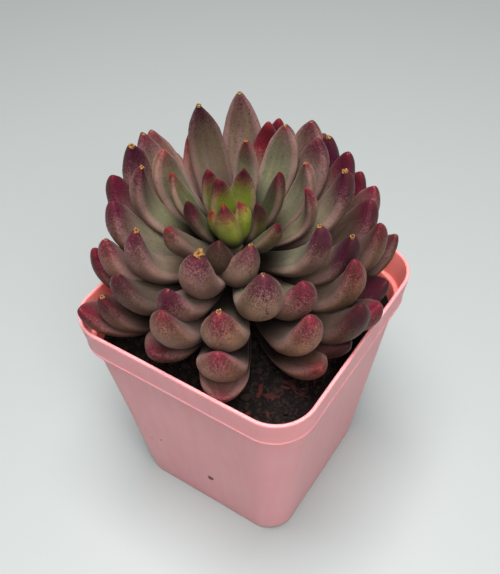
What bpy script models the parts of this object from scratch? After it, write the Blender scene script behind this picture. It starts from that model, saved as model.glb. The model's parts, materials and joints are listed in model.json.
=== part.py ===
"""Potted echeveria: a rosette of fat pointed leaves on a short stem, in potting mix, in a square pot.

Units are metres and +Z is up. The origin is the centre of the pot's flat underside, and the pot's
sides run along X and Y.
"""
import math
import random

import bmesh
import bpy
import numpy as np
from mathutils import Matrix, Vector, noise
from mathutils.bvhtree import BVHTree

MM = 0.001

# Clearance kept between pieces that touch or rest on each other
GAP = 0.3 * MM

# Pot: a common 7 cm square nursery pot
MOUTH_WIDTH = 70.0 * MM
BASE_WIDTH = 51.0 * MM
POT_HEIGHT = 71.4 * MM
MOUTH_CORNER = 11.0 * MM
BASE_CORNER = 7.8 * MM
WALL = 1.0 * MM
FLOOR = 2.0 * MM
COLLAR_HEIGHT = 9.3 * MM
COLLAR_STEP = 1.1 * MM
COLLAR_FLARE = 0.9 * MM
EDGE_ROUND = 0.4 * MM
CORNER_STEPS = 6
NOTCH_LENGTH = 8.0 * MM
NOTCH_DEPTH = 5.0 * MM
NOTCH_HEIGHT = 1.0 * MM
DRAIN_HOLE = 4.0 * MM
DRAIN_PLACE = 11.0 * MM
DRAIN_SIDES = 16

# Pot sizes that follow from those above
MOUTH_HALF = MOUTH_WIDTH / 2
COLLAR_HALF = MOUTH_HALF - COLLAR_FLARE
BODY_TOP_HALF = COLLAR_HALF - COLLAR_STEP
COLLAR_FOOT = POT_HEIGHT - COLLAR_HEIGHT
LEDGE = COLLAR_FOOT + WALL

# Potting mix
SOIL_LEVEL = 60.0 * MM
SOIL_RELIEF = 0.9 * MM
SOIL_CLUMP = 7.0 * MM
SOIL_MARGIN = 1.5 * MM
SOIL_SIDE_STEPS = 7
SOIL_RINGS = 7
SOIL_SEED = Vector((3.0, 8.0, 1.0))

# Stem and crown
STEM_RADIUS = 3.6 * MM
STEM_BURIED = 12.0 * MM
STEM_RESOLUTION = 2
STEM_UPRIGHT = 1.0 * MM
STEM_TURN = 0.2
CROWN_PLACE = Vector((-5.2 * MM, 2.8 * MM, 80.0 * MM))
LEAN_ANGLE = math.radians(11.5)
LEAN_TOWARDS = math.radians(-53.0)
CROWN_PROFILE = (
    (0.0, 7.5 * MM),
    (2.4 * MM, 6.5 * MM),
    (4.2 * MM, 3.0 * MM),
    (6.0 * MM, -3.0 * MM),
    (6.6 * MM, -9.0 * MM),
    (5.6 * MM, -13.5 * MM),
    (0.0, -16.0 * MM),
)
CROWN_SIDES = 16

# Spiral of leaves, the youngest first. Reach, rise and width are in mm at each growth stage; bend and
# the widest place are shares of the leaf's length, and the bulges shares of its half width.
LEAF_NUMBERS = range(1, 80)
SPIRAL_START = math.radians(285.0)
SPIRAL_STEP = math.radians(-137.28)
GROWTH_STAGE = (0, 5, 12, 22, 35, 52, 79)
TIP_REACH = (3.5, 5.9, 13.7, 21.6, 31.1, 36.7, 41.9)
TIP_RISE = (21.0, 24.5, 22.5, 24.0, 19.5, 14.3, 2.0)
ROOT_REACH = (0.3, 1.0, 2.3, 3.4, 4.2, 4.6, 4.6)
ROOT_RISE = (5.0, 4.5, 3.0, 0.0, -4.0, -8.0, -12.5)
LEAF_WIDTH = (6.0, 6.8, 5.8, 8.6, 11.3, 12.0, 12.1)
LEAF_BEND = (0.05, 0.08, 0.20, 0.20, 0.225, 0.245, 0.27)
BEND_AT = (0.50, 0.50, 0.50, 0.52, 0.56, 0.60, 0.60)
BACK_BULGE = (0.75, 0.80, 0.90, 0.98, 0.82, 0.74, 0.64)
INNER_BULGE = (0.42, 0.42, 0.42, 0.46, 0.44, 0.42, 0.40)
WIDEST_AT = (0.45, 0.48, 0.53, 0.58, 0.60, 0.60, 0.60)
EDGE_POWER = (2.2, 2.2, 2.3, 2.4, 2.4, 2.4, 2.4)
EDGE_BLUNTNESS = (0.85, 0.80, 0.75, 0.68, 0.66, 0.68, 0.68)

# Leaves that never grew or have dropped, which leaves gaps in the spiral
DROPPED_LEAVES = {8, 9, 22, 30, 47, 50, 53, 68, 71, 74}

# Leaves that stand off the rule: turn in degrees, then mm further out and mm higher at the tip
OUT_OF_STEP = {
    1: (21, 1, 3), 2: (-8, -3, -1), 3: (-11, 0, -4.5), 4: (6, 2, 1), 5: (-18, -4, -2.5),
    6: (-21, 3, -1), 7: (-19, -3, -3.5), 10: (7, 1, -2), 11: (1, -1.5, -1.5), 12: (-14, -1, 0.5),
    13: (-17, -3.8, -4.2), 14: (25, 1.5, 0), 15: (11, 1, 1), 16: (-5, 1, 0), 17: (1, -1, 1),
    18: (-12, -7.5, -6), 19: (0, 4, 2), 21: (-1, -1.5, 1), 23: (-1.5, 0.4, 1), 24: (5, 1, -1),
    25: (-1.5, 1.5, 1), 26: (4, 1, 3), 27: (-5, -2, 0), 28: (5, 1.4, 3), 29: (8, 2, -3),
    31: (-10.5, -0.5, -2), 34: (1.2, 0.8, 1), 35: (5, 4, -2), 36: (-5, -2, -2), 37: (3, 1.5, -1),
    38: (-1.5, -3, -0.5), 39: (0.5, 2.4, -1), 41: (6, 0, 1.5), 42: (-4, -0.3, 1), 43: (-2, 2, 2),
    44: (-1, -2.2, 0.5), 45: (0, -2.5, -0.5), 46: (-3, 0, 2.5), 48: (-0.5, -1, 2), 49: (1.5, -1, -1),
    51: (-4, 3, 3), 52: (6, 3.2, 1), 54: (6.5, -1.5, 1.5), 55: (4, 0, 0), 56: (0.5, 2, -1.5),
    57: (8, -1.5, 4), 58: (2, 0, -2.5), 60: (6, 2.5, -9.5), 61: (0, -4, 0), 63: (-8, -1.5, -9.5),
    65: (0, 2, -1), 66: (-4, -4, 0.5), 67: (-4, -2, 5), 69: (0, -2, 0), 70: (-0.5, 2, -3),
    73: (3, 0, -4), 75: (-5.5, -2, 4), 76: (7, 0.5, -7.5), 78: (-1, -2, -2), 79: (-1.5, 1.5, 0),
}

# A few leaves' own shapes: tip and middle pushed sideways in mm, more or less bend, share of the
# width, and a sharper or rounder end
SWAY = {5: -2.2}
CURL = {12: -1.2, 18: -6.0, 21: -2.5, 34: 1.0, 43: -2.0, 51: -2.0}
SAG = {
    10: -0.10, 11: -0.11, 12: -0.10, 14: -0.07, 15: 0.08, 16: -0.12, 19: 0.10, 20: 0.03, 24: 0.08,
    34: 0.03, 39: 0.06, 44: 0.05, 63: -0.05,
}
GIRTH = {
    1: 1.35, 3: 0.7, 4: 1.08, 5: 1.06, 7: 0.95, 10: 1.08, 11: 1.02, 12: 1.05, 13: 1.35, 14: 0.96,
    15: 0.8, 16: 1.12, 17: 0.9, 18: 1.3,
    20: 0.88, 21: 1.22, 25: 1.05, 26: 1.18, 28: 0.93, 31: 1.08, 34: 1.03, 35: 0.9, 36: 0.93, 37: 0.92, 38: 0.75,
    40: 0.88, 41: 0.82, 43: 0.92, 45: 0.92, 54: 1.04, 55: 1.04, 57: 0.9, 58: 0.93, 59: 0.8, 63: 1.04,
    66: 0.85, 70: 0.9, 76: 1.05,
}
POINTED = {
    5: 0.1, 7: 0.2, 10: 0.12, 11: 0.15, 12: 0.2, 13: -0.15, 14: 0.2, 21: -0.18, 23: -0.05, 24: -0.05, 26: -0.12, 34: -0.06, 35: 0.1, 39: -0.08, 42: -0.08, 43: 0.1,
    48: 0.06, 51: 0.1, 55: -0.1, 56: 0.08, 63: -0.08, 76: -0.1,
}

# Leaf shape, as shares of the leaf's length or half width
ROOT_SHARE = 0.45
BACK_POWER = 2.9
BACK_BLUNTNESS = 0.52
RING_SPREAD = 1.25
LEAF_SIDES = 8
LEAF_RINGS = 6
TIP_POINT = 0.6 * MM
POLE_SHARE = 0.01
TURN_SPREAD = math.radians(1.5)
REACH_SPREAD = 0.5 * MM
ROLL_SPREAD = math.radians(6.0)
LEAF_SEED = 11
SETTLE_TRIES = 40
SETTLE_UNBEND = 0.03
SETTLE_RISE = 0.2 * MM
SETTLE_PULL = 0.1 * MM
LEAF_CLEARANCE = 0.5 * MM

# sRGB colours
POT_PINK = "C58E8F"
SOIL_BROWN = "241D1B"
LEAF_MAUVE = "7D6A66"


def linear(hex_colour):
    """An sRGB hex colour as linear red, green, blue and alpha."""
    shares = [int(hex_colour[i:i + 2], 16) / 255 for i in (0, 2, 4)]
    bright = [s / 12.92 if s <= 0.04045 else ((s + 0.055) / 1.055) ** 2.4 for s in shares]
    return (*bright, 1.0)


def material(name, hex_colour, roughness):
    """A plain material of one colour."""
    made = bpy.data.materials.new(name)
    made.use_nodes = True
    shader = made.node_tree.nodes["Principled BSDF"]
    shader.inputs["Base Color"].default_value = linear(hex_colour)
    shader.inputs["Roughness"].default_value = roughness
    shader.inputs["Metallic"].default_value = 0.0
    made.diffuse_color = linear(hex_colour)
    return made


def new_object(name, bm, collection):
    """A mesh object made from a bmesh, which is freed."""
    mesh = bpy.data.meshes.new(name)
    bm.to_mesh(mesh)
    bm.free()
    made = bpy.data.objects.new(name, mesh)
    collection.objects.link(made)
    return made


def rounded_square(half, radius, z, side_steps=1):
    """Points round a square with rounded corners, anticlockwise seen from above."""
    points = []
    for corner in range(4):
        start = math.radians(90 * corner)
        centre = Matrix.Rotation(start, 3, "Z") @ Vector((half - radius, half - radius, 0))
        for step in range(CORNER_STEPS + 1):
            angle = start + math.radians(90) * step / CORNER_STEPS
            points.append(centre + Vector((radius * math.cos(angle), radius * math.sin(angle), z)))
        last = points[-1]
        next_corner = Matrix.Rotation(start, 3, "Z") @ Vector((radius - half, half, z))
        for step in range(1, side_steps):
            points.append(last.lerp(next_corner, step / side_steps))
    return points


def loft(rings):
    """A closed solid skinned through rings of equal length, its first and last ring filled."""
    bm = bmesh.new()
    rows = [[bm.verts.new(point) for point in ring] for ring in rings]
    count = len(rows[0])
    for lower, upper in zip(rows, rows[1:]):
        for i in range(count):
            j = (i + 1) % count
            bm.faces.new((lower[i], lower[j], upper[j], upper[i]))
    bm.faces.new(reversed(rows[0]))
    bm.faces.new(rows[-1])
    return bm


def blend(low, high, share):
    """The value at a share of the way from low to high."""
    return low + (high - low) * share


def body_half(z):
    """Half width of the pot's tapered body, outside."""
    return blend(BASE_WIDTH / 2, BODY_TOP_HALF, z / COLLAR_FOOT)


def body_corner(z):
    """Corner radius of the pot's tapered body, outside."""
    return blend(BASE_CORNER, MOUTH_CORNER, z / COLLAR_FOOT)


def inner_half(z):
    """Half width of the pot's body, inside."""
    return body_half(z) - WALL


def inner_corner(z):
    """Corner radius of the pot's body, inside."""
    return body_corner(z) - WALL


def pot(collection, cutters):
    """The pot's outside from the underside up, over the lip, and its inside down to the floor."""
    body_top = COLLAR_FOOT - EDGE_ROUND
    floor_edge = FLOOR + EDGE_ROUND
    profile = (
        (body_half(0) - EDGE_ROUND, body_corner(0), 0.0),
        (body_half(EDGE_ROUND), body_corner(EDGE_ROUND), EDGE_ROUND),
        (body_half(body_top), body_corner(body_top), body_top),
        (BODY_TOP_HALF + EDGE_ROUND, MOUTH_CORNER, COLLAR_FOOT),
        (COLLAR_HALF - EDGE_ROUND, MOUTH_CORNER, COLLAR_FOOT),
        (COLLAR_HALF, MOUTH_CORNER, COLLAR_FOOT + EDGE_ROUND),
        (MOUTH_HALF, MOUTH_CORNER, POT_HEIGHT - EDGE_ROUND),
        (MOUTH_HALF - EDGE_ROUND, MOUTH_CORNER - EDGE_ROUND, POT_HEIGHT),
        (MOUTH_HALF - WALL, MOUTH_CORNER - WALL, POT_HEIGHT),
        (COLLAR_HALF - WALL, MOUTH_CORNER - WALL, LEDGE + EDGE_ROUND),
        (COLLAR_HALF - WALL - EDGE_ROUND, MOUTH_CORNER - WALL, LEDGE),
        (inner_half(LEDGE), inner_corner(LEDGE), LEDGE - EDGE_ROUND),
        (inner_half(floor_edge), inner_corner(floor_edge), floor_edge),
        (inner_half(FLOOR) - EDGE_ROUND, inner_corner(FLOOR), FLOOR),
    )
    made = new_object("pot", loft([rounded_square(*section) for section in profile]), collection)
    corner_reach = (BASE_WIDTH / 2 - BASE_CORNER) * math.sqrt(2) + BASE_CORNER
    for corner in range(4):
        facing = Matrix.Rotation(math.radians(45 + 90 * corner), 4, "Z")
        notch = bmesh.new()
        bmesh.ops.create_cube(notch, size=1)
        notch.transform(Matrix.Diagonal((NOTCH_DEPTH, NOTCH_LENGTH, 2 * NOTCH_HEIGHT, 1)))
        notch.transform(facing @ Matrix.Translation((corner_reach, 0, 0)))
        new_object(f"notch_cutter_{corner}", notch, cutters)
        drain = bmesh.new()
        bmesh.ops.create_cone(drain, cap_ends=True, segments=DRAIN_SIDES, depth=4 * FLOOR,
                              radius1=DRAIN_HOLE / 2, radius2=DRAIN_HOLE / 2)
        drain.transform(facing @ Matrix.Translation((DRAIN_PLACE * math.sqrt(2), 0, 0)))
        new_object(f"drain_cutter_{corner}", drain, cutters)
    cut = made.modifiers.new("notches and drain holes", "BOOLEAN")
    cut.operation = "DIFFERENCE"
    cut.operand_type = "COLLECTION"
    cut.collection = cutters
    return made


def plant_frame():
    """The plant's own frame: its axis leans, and its origin is the middle of the crown."""
    across = Vector((-math.sin(LEAN_TOWARDS), math.cos(LEAN_TOWARDS), 0))
    return Matrix.Translation(CROWN_PLACE) @ Matrix.Rotation(LEAN_ANGLE, 4, across)


def stem_foot():
    """Where the stem enters the soil, straight below the crown's lower end."""
    return plant_frame() @ Vector((0, 0, CROWN_PROFILE[-2][1]))


def soil(collection):
    """The potting mix: the pot's inside shape, a crumbly top, and a plain hole for the stem."""
    hole_radius = STEM_RADIUS + GAP
    hole_floor = SOIL_LEVEL - STEM_BURIED - GAP
    foot = stem_foot()

    def outline(z):
        return rounded_square(inner_half(z) - GAP, inner_corner(z) - GAP, z, SOIL_SIDE_STEPS)

    edge = outline(SOIL_LEVEL - SOIL_MARGIN)
    hole = []
    for point in edge:
        direction = Vector((point.x - foot.x, point.y - foot.y, 0)).normalized()
        hole.append(Vector((foot.x, foot.y, 0)) + direction * hole_radius)
    rings = [outline(FLOOR + EDGE_ROUND + GAP), edge]
    for ring in range(1, SOIL_RINGS + 1):
        share = ring / SOIL_RINGS
        top = []
        for rim_point, hole_point in zip(edge, hole):
            point = rim_point.lerp(hole_point, share)
            place = Vector((point.x, point.y, 0)) / SOIL_CLUMP + SOIL_SEED
            point.z = SOIL_LEVEL + SOIL_RELIEF * noise.noise(place)
            top.append(point)
        rings.append(top)
    rings.append([Vector((point.x, point.y, hole_floor)) for point in hole])
    return new_object("soil", loft(rings), collection)


def grown(values, number):
    """The value for a leaf of this number, read between the growth stages."""
    return float(np.interp(number, GROWTH_STAGE, values))


def swell(share, widest, power, bluntness):
    """Girth along the leaf as a share of its fullest: narrow root, fat middle, pointed end."""
    if share < widest:
        return ROOT_SHARE + (1 - ROOT_SHARE) * math.sin(math.pi / 2 * share / widest)
    beyond = (share - widest) / (1 - widest)
    return max(1 - beyond ** power, 0) ** bluntness


def leaf(number, straighter):
    """One leaf: a sphere drawn out along a bent line, flatter inside and rounded on its back."""
    draw = random.Random(LEAF_SEED * 1000 + number)
    turn, further, higher = OUT_OF_STEP.get(number, (0, 0, 0))
    angle = SPIRAL_START + SPIRAL_STEP * number + draw.uniform(-TURN_SPREAD, TURN_SPREAD)
    angle += math.radians(turn)
    reach = (grown(TIP_REACH, number) + further) * MM + draw.uniform(-REACH_SPREAD, REACH_SPREAD)
    reach -= straighter * SETTLE_PULL
    rise = (grown(TIP_RISE, number) + higher) * MM + straighter * SETTLE_RISE
    roll = draw.uniform(-ROLL_SPREAD, ROLL_SPREAD)
    outward = Vector((math.cos(angle), math.sin(angle), 0))
    upward = Vector((0, 0, 1))
    root = (outward * grown(ROOT_REACH, number) + upward * grown(ROOT_RISE, number)) * MM
    side = upward.cross(outward)
    tip = outward * reach + side * SWAY.get(number, 0) * MM + upward * rise
    bend = grown(LEAF_BEND, number) + SAG.get(number, 0) - straighter * SETTLE_UNBEND
    bow = root.lerp(tip, grown(BEND_AT, number)) - (tip - root).cross(side) * 2 * bend
    bow += side * CURL.get(number, 0) * MM
    half_width = grown(LEAF_WIDTH, number) * GIRTH.get(number, 1) * MM / 2
    back_bulge, inner_bulge = grown(BACK_BULGE, number), grown(INNER_BULGE, number)
    widest, edge_power = grown(WIDEST_AT, number), grown(EDGE_POWER, number)
    edge_bluntness = grown(EDGE_BLUNTNESS, number) + POINTED.get(number, 0)

    bm = bmesh.new()
    bmesh.ops.create_uvsphere(bm, u_segments=LEAF_SIDES, v_segments=LEAF_RINGS, radius=1)
    for vert in bm.verts:
        around = math.atan2(vert.co.y, vert.co.x)
        from_root = math.acos(max(-1, min(1, -vert.co.z))) / math.pi
        share = math.sin(from_root * math.pi / 2) ** RING_SPREAD
        centre = root.lerp(bow, share).lerp(bow.lerp(tip, share), share)
        along = (bow.lerp(tip, share) - root.lerp(bow, share)).normalized()
        turned = Matrix.Rotation(roll, 3, along)
        across = turned @ side
        inward = turned @ along.cross(side)
        at_pole = from_root < POLE_SHARE or from_root > 1 - POLE_SHARE
        wide = 0 if at_pole else half_width * swell(share, widest, edge_power, edge_bluntness)
        thick = 0 if at_pole else half_width * swell(share, widest, BACK_POWER, BACK_BLUNTNESS)
        bulge = inner_bulge if around > 0 else back_bulge
        vert.co = centre + across * wide * math.cos(around) + inward * thick * bulge * math.sin(around)
        if from_root > 1 - POLE_SHARE:
            vert.co += along * TIP_POINT
    bm.transform(plant_frame())
    return bm


def keep_out():
    """The pot's wall and lip, grown by the leaves' clearance, as a tree that finds what crosses it."""
    lip = POT_HEIGHT + LEAF_CLEARANCE
    profile = (
        (MOUTH_HALF + LEAF_CLEARANCE, MOUTH_CORNER, COLLAR_FOOT),
        (MOUTH_HALF + LEAF_CLEARANCE, MOUTH_CORNER, lip),
        (MOUTH_HALF - WALL - LEAF_CLEARANCE, MOUTH_CORNER - WALL, lip),
        (COLLAR_HALF - WALL - LEAF_CLEARANCE, MOUTH_CORNER - WALL, LEDGE),
        (inner_half(LEDGE) - LEAF_CLEARANCE, inner_corner(LEDGE), LEDGE),
        (inner_half(SOIL_LEVEL) - LEAF_CLEARANCE, inner_corner(SOIL_LEVEL), SOIL_LEVEL),
    )
    grown_wall = loft([rounded_square(*section) for section in profile])
    tree = BVHTree.FromBMesh(grown_wall)
    grown_wall.free()
    return tree


def settled_leaf(number, wall):
    """A leaf straightened, raised and drawn in until it is clear of the pot's wall and lip."""
    for straighter in range(SETTLE_TRIES):
        bm = leaf(number, straighter)
        if not BVHTree.FromBMesh(bm).overlap(wall):
            return bm
        bm.free()
    raise RuntimeError(f"leaf {number} does not clear the pot")


def stem(collection):
    """The short bare stem, from its buried end up into the crown, as a plain tube."""
    foot = stem_foot()
    buried = Vector((foot.x, foot.y, SOIL_LEVEL - STEM_BURIED))
    curve = bpy.data.curves.new("stem", "CURVE")
    curve.dimensions = "3D"
    curve.bevel_depth = STEM_RADIUS
    curve.bevel_resolution = STEM_RESOLUTION
    curve.use_fill_caps = True
    line = curve.splines.new("POLY")
    ground = Vector((foot.x, foot.y, SOIL_LEVEL + STEM_UPRIGHT))
    route = (buried, ground, foot.lerp(CROWN_PLACE, STEM_TURN), CROWN_PLACE)
    line.points.add(len(route) - 1)
    for point, place in zip(line.points, route):
        point.co = (*place, 1)
    tube = bpy.data.objects.new("stem_curve", curve)
    collection.objects.link(tube)
    bpy.context.view_layer.update()
    mesh = bpy.data.meshes.new_from_object(tube.evaluated_get(bpy.context.evaluated_depsgraph_get()))
    bm = bmesh.new()
    bm.from_mesh(mesh)
    bmesh.ops.remove_doubles(bm, verts=bm.verts, dist=GAP / 10)
    made = new_object("stem", bm, collection)
    made.matrix_world = tube.matrix_world
    bpy.data.objects.remove(tube)
    return made


def crown(collection):
    """The crown: the thick end of the stem that the leaves grow from, turned from a profile."""
    bm = bmesh.new()
    points = [bm.verts.new((radius, 0, height)) for radius, height in CROWN_PROFILE]
    for upper, lower in zip(points, points[1:]):
        bm.edges.new((upper, lower))
    made = new_object("rosette", bm, collection)
    made.matrix_world = plant_frame()
    turned = made.modifiers.new("turned", "SCREW")
    turned.steps = CROWN_SIDES
    turned.render_steps = CROWN_SIDES
    turned.use_merge_vertices = True
    turned.merge_threshold = 0.01 * MM
    return made


def islands(bm):
    """The separate skins of a mesh, as lists of faces; skins that share only an edge stay apart."""
    left = set(bm.faces)
    found = []
    while left:
        skin = [left.pop()]
        for face in skin:
            for edge in face.edges:
                if len(edge.link_faces) > 2:
                    continue
                for other in edge.link_faces:
                    if other in left:
                        left.remove(other)
                        skin.append(other)
        found.append(skin)
    return found


def signed_volume(faces):
    """Volume inside a closed set of faces; negative for the skin of a hollow."""
    total = 0.0
    for face in faces:
        first = face.verts[0].co
        for one, two in zip(face.verts[1:], face.verts[2:]):
            total += first.dot(one.co.cross(two.co)) / 6
    return total


def keep_main_body(mesh):
    """Fills sealed hollows and drops loose scraps, so that one solid is left."""
    bm = bmesh.new()
    bm.from_mesh(mesh)
    bmesh.ops.triangulate(bm, faces=bm.faces)
    skins = islands(bm)
    main = max(skins, key=signed_volume)
    spare = [face for skin in skins if skin is not main for face in skin]
    bmesh.ops.delete(bm, geom=spare, context="FACES")
    bm.to_mesh(mesh)
    bm.free()


def rosette(collection, sprigs):
    """Crown, stem and leaves, joined into one solid."""
    made = crown(collection)
    stem(sprigs)
    wall = keep_out()
    for number in sorted(set(LEAF_NUMBERS) - DROPPED_LEAVES):
        new_object(f"leaf_{number}", settled_leaf(number, wall), sprigs)
    join = made.modifiers.new("leaves", "BOOLEAN")
    join.operation = "UNION"
    join.operand_type = "COLLECTION"
    join.collection = sprigs
    bpy.context.view_layer.update()
    mesh = bpy.data.meshes.new_from_object(made.evaluated_get(bpy.context.evaluated_depsgraph_get()))
    mesh.transform(made.matrix_world)
    made.modifiers.clear()
    made.matrix_world = Matrix.Identity(4)
    made.data = mesh
    for piece in list(sprigs.objects):
        bpy.data.objects.remove(piece)
    keep_main_body(mesh)
    return made


def main():
    for old in list(bpy.data.objects):
        bpy.data.objects.remove(old)
    parts = bpy.data.collections.new("potted_echeveria")
    cutters = bpy.data.collections.new("cutters")
    sprigs = bpy.data.collections.new("leaves_to_join")
    for collection in (parts, cutters, sprigs):
        bpy.context.scene.collection.children.link(collection)

    pot_piece = pot(parts, cutters)
    soil_piece = soil(parts)
    rosette_piece = rosette(parts, sprigs)
    pot_piece.data.materials.append(material("moulded pink plastic", POT_PINK, 0.45))
    soil_piece.data.materials.append(material("damp potting mix", SOIL_BROWN, 0.95))
    rosette_piece.data.materials.append(material("powdery succulent leaf", LEAF_MAUVE, 0.55))
    for cutter in cutters.objects:
        cutter.hide_render = True
        cutter.display_type = "WIRE"
    bpy.data.collections.remove(sprigs)
    rosette_piece.data.shade_smooth()
    rosette_piece.data.set_sharp_from_angle(angle=math.radians(50))


main()
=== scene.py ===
"""Potted echeveria: a rosette of fat pointed leaves in potting mix, in a square pink nursery pot.

Metres, +Z up. The origin is the centre of the pot's flat underside, and the pot's sides run along X
and Y. The leaves follow the same spiral rule as the solids, with finer skins.
"""
import json
import random
from functools import partial
from math import cos, pi, radians, sin, sqrt, tau

import bmesh
import bpy
import numpy as np
from mathutils import Matrix, Vector, noise

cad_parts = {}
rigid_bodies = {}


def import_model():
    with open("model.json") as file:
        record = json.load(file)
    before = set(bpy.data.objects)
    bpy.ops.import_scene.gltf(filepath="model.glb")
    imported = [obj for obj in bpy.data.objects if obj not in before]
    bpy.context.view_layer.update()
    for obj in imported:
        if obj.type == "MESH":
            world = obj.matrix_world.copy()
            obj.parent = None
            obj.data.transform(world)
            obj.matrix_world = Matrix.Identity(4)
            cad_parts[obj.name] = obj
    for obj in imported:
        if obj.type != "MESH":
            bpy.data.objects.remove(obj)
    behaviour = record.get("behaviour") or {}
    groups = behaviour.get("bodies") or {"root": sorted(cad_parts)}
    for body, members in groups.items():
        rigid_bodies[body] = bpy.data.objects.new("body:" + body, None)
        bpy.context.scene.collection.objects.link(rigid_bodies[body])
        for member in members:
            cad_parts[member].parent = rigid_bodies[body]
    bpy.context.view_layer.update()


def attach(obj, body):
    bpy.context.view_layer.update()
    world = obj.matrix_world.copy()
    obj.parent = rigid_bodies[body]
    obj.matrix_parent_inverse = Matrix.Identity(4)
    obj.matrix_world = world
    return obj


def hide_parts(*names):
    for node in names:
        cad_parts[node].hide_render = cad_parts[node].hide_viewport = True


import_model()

MM = 0.001
GAP = 0.3 * MM
PER_MM = 1 / MM

# Pot
MOUTH_HALF = 35.0 * MM
BASE_HALF = 25.5 * MM
POT_HEIGHT = 71.4 * MM
MOUTH_CORNER = 11.0 * MM
BASE_CORNER = 7.8 * MM
WALL = 1.0 * MM
FLOOR = 2.0 * MM
COLLAR_HEIGHT = 9.3 * MM
COLLAR_STEP = 1.1 * MM
COLLAR_FLARE = 0.9 * MM
COLLAR_HALF = MOUTH_HALF - COLLAR_FLARE
BODY_TOP_HALF = COLLAR_HALF - COLLAR_STEP
COLLAR_FOOT = POT_HEIGHT - COLLAR_HEIGHT
LEDGE = COLLAR_FOOT + WALL
EDGE_ROUND = 0.4 * MM
FOOT_ROUND = 0.8 * MM
FILLET = 0.3 * MM
BEAD_RADIUS = 0.35 * MM
BEAD_SUNK = 0.1 * MM
BEAD_CLEARANCE = 2.2 * BEAD_RADIUS
LIP_ROUND = 0.45 * MM
WALL_WAVE = 0.12 * MM
WALL_WAVE_LENGTH = 24.0 * MM
POT_CORNER_STEPS = 18
POT_SIDE_STEPS = 14
BODY_STEPS = 30
COLLAR_STEPS = 6
NOTCH_SIZE = (5.0 * MM, 7.0 * MM, 2.6 * MM)
DRAIN_RADIUS = 2.0 * MM
DRAIN_PLACE = 11.0 * MM
DRAIN_SIDES = 32
SHARP_ANGLE = radians(50.0)
CORNER_REACH = (BASE_HALF - BASE_CORNER) * sqrt(2) + BASE_CORNER

# Shares of the wall's thickness: how deep the inner face's painted glow starts, and over how much it
# fades in
INSIDE_FROM = 0.45
INSIDE_FADE = 0.4

# Crumbs of dried mix that cling to the pot's front: place on the wall and size in mm, then how they
# are pressed flat and how rough they are
CLINGING_CRUMBS = (
    ((3.7, -27.65, 17.5), 0.75), ((-13.1, -28.5, 25.0), 0.25), ((-17.0, -28.2, 22.5), 0.2),
)
CLINGING_PRESS = Vector((1.3, 0.35, 1.0))
CLINGING_ROUGH = 0.35
CLINGING_GRAIN = 1.7

# Potting mix
SOIL_LEVEL = 60.0 * MM
SOIL_MARGIN = 1.5 * MM
SOIL_RINGS = 56
SOIL_RELIEF = 0.9 * MM
SOIL_CLUMP = 7.0 * MM
SOIL_LUMP_RELIEF = 0.55 * MM
SOIL_LUMP = 2.4 * MM
SOIL_SEED = Vector((3.0, 8.0, 1.0))
SOIL_FRACTAL = (0.7, 2.1, 4)
SCATTER_RINGS = (4, 52)

# Bits strewn on the mix: name, what it is made of, number per square metre, smallest and largest
# radius in mm, stretch, and how finely the lump is divided, where 0 makes a fibre
STREWN = (
    ("fine_crumbs", "crumb", 6.0e5, 0.25, 0.8, 1.0, 1),
    ("coarse_crumbs", "crumb", 4.5e4, 0.9, 1.9, 0.7, 2),
    ("bark_fibres", "bark", 2.6e4, 0.12, 0.28, 14.0, 0),
    ("bark_chips", "bark", 1.0e4, 0.5, 1.0, 2.6, 2),
)
FIBRE_BEND = 1.4 * MM
TINT_SEED = 77

# Least and most turn about X, Y and Z at which a strewn bit lies, in radians
LIE = ((1.25, -0.25, 0.0), (1.9, 0.25, 6.283))

# Stem and crown
STEM_RADIUS = 3.6 * MM
STEM_SIDES = 40
STEM_BURIED = 6.0 * MM
STEM_RINGS = (-STEM_BURIED, -2.0 * MM, 1.0 * MM, 3.0 * MM)
STEM_EDGE = 1.5 * MM
STEM_RELIEF = 0.25 * MM
STEM_KNOB = 1.6 * MM
CROWN_PLACE = Vector((-5.2 * MM, 2.8 * MM, 80.0 * MM))
CROWN_FOOT = -13.5 * MM
LEAN_ANGLE = radians(11.5)
LEAN_TOWARDS = radians(-53.0)
CROWN_PROFILE = (
    (5.6, -13.5), (6.3, -11.5), (6.6, -9.0), (6.4, -6.0), (6.0, -3.0), (5.2, 0.2), (4.2, 3.0),
    (3.2, 5.2), (2.0, 6.8), (0.8, 7.4),
)

# Spiral of leaves, the youngest first. Reach, rise and width are in mm at each growth stage; bend and
# the widest place are shares of the leaf's length, and the bulges shares of its half width.
LEAF_NUMBERS = range(1, 80)
SPIRAL_START = radians(285.0)
SPIRAL_STEP = radians(-137.28)
GROWTH_STAGE = (0, 5, 12, 22, 35, 52, 79)
TIP_REACH = (3.5, 5.9, 13.7, 21.6, 31.1, 36.7, 41.9)
TIP_RISE = (21.0, 24.5, 22.5, 24.0, 19.5, 14.3, 2.0)
ROOT_REACH = (0.3, 1.0, 2.3, 3.4, 4.2, 4.6, 4.6)
ROOT_RISE = (5.0, 4.5, 3.0, 0.0, -4.0, -8.0, -12.5)
LEAF_WIDTH = (6.0, 6.8, 5.8, 8.6, 11.3, 12.0, 12.1)
LEAF_BEND = (0.05, 0.08, 0.20, 0.20, 0.225, 0.245, 0.27)
BEND_AT = (0.50, 0.50, 0.50, 0.52, 0.56, 0.60, 0.60)
BACK_BULGE = (0.75, 0.80, 0.90, 0.98, 0.82, 0.74, 0.64)
INNER_BULGE = (0.42, 0.42, 0.42, 0.46, 0.44, 0.42, 0.40)
WIDEST_AT = (0.45, 0.48, 0.53, 0.58, 0.60, 0.60, 0.60)
EDGE_POWER = (2.2, 2.2, 2.3, 2.4, 2.4, 2.4, 2.4)
EDGE_BLUNTNESS = (0.85, 0.80, 0.75, 0.68, 0.66, 0.68, 0.68)

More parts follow.
